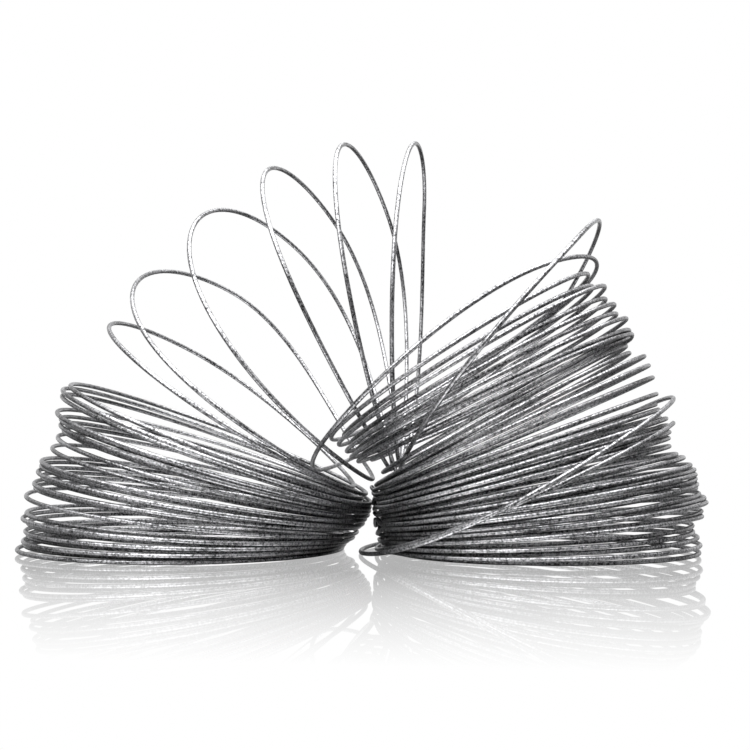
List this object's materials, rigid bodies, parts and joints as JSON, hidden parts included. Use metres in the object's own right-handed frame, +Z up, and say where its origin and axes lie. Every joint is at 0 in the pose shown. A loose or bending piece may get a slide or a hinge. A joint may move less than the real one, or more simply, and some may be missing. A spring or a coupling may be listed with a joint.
{
  "type": "coil of drawn steel wire",
  "caption": "Loose coil of springy grey steel wire, splayed like a fan: turns heaped flat to both sides of a pinch, others standing free between them",
  "frame": {"origin": "middle of the coil's base, on the floor it lies on", "axes": "+X along the coil from the smaller heap to the larger one, +Y to the back along the pinch, +Z up"},
  "size_m": [0.3216, 0.182, 0.1949],
  "materials": {
    "wire": "satin grey drawn steel, finely grained"
  },
  "bodies": {
    "root": {"wire_coil": "wire"}
  },
  "joints": []
}
